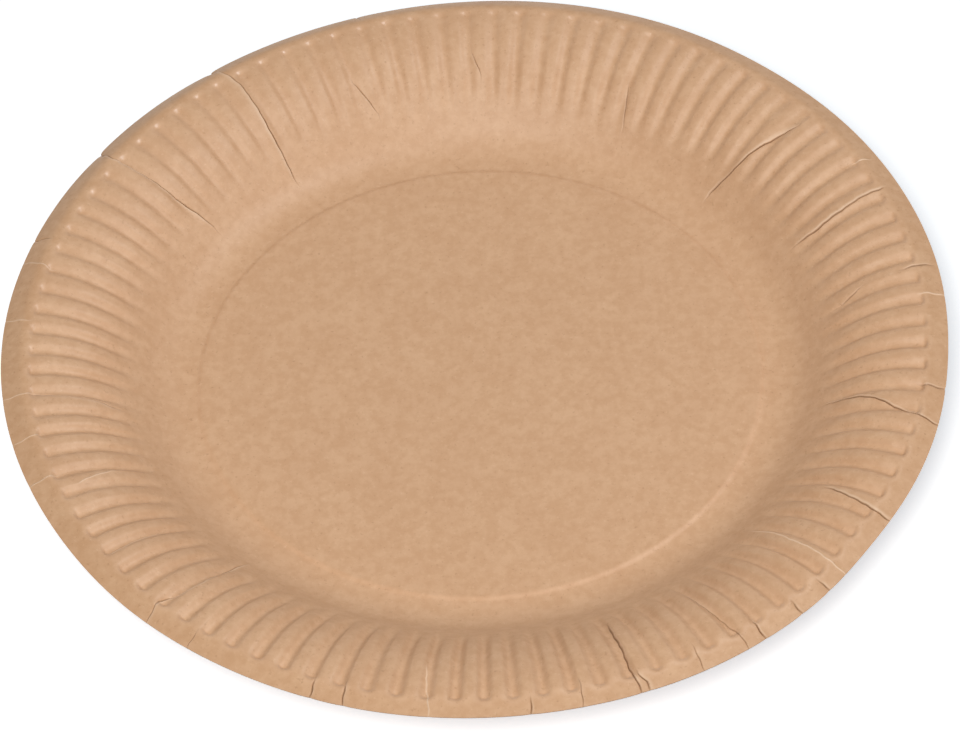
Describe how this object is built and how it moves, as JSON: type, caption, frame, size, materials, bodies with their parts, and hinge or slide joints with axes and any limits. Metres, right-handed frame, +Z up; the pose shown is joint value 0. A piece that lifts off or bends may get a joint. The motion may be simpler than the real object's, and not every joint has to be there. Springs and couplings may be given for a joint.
{
  "type": "paper plate",
  "caption": "Round disposable plate of brown kraft board with a raised flat middle, a curved wall, a fluted rim and a plain turned-down lip, for serving food.",
  "frame": {"origin": "middle of the foot ring, on the table", "axes": "+Z up along the plate's axis, out of the well"},
  "size_m": [0.23, 0.23, 0.018],
  "materials": {
    "kraft_board": "matte, lightly calendered"
  },
  "bodies": {
    "root": {"plate": "kraft_board"}
  },
  "joints": []
}
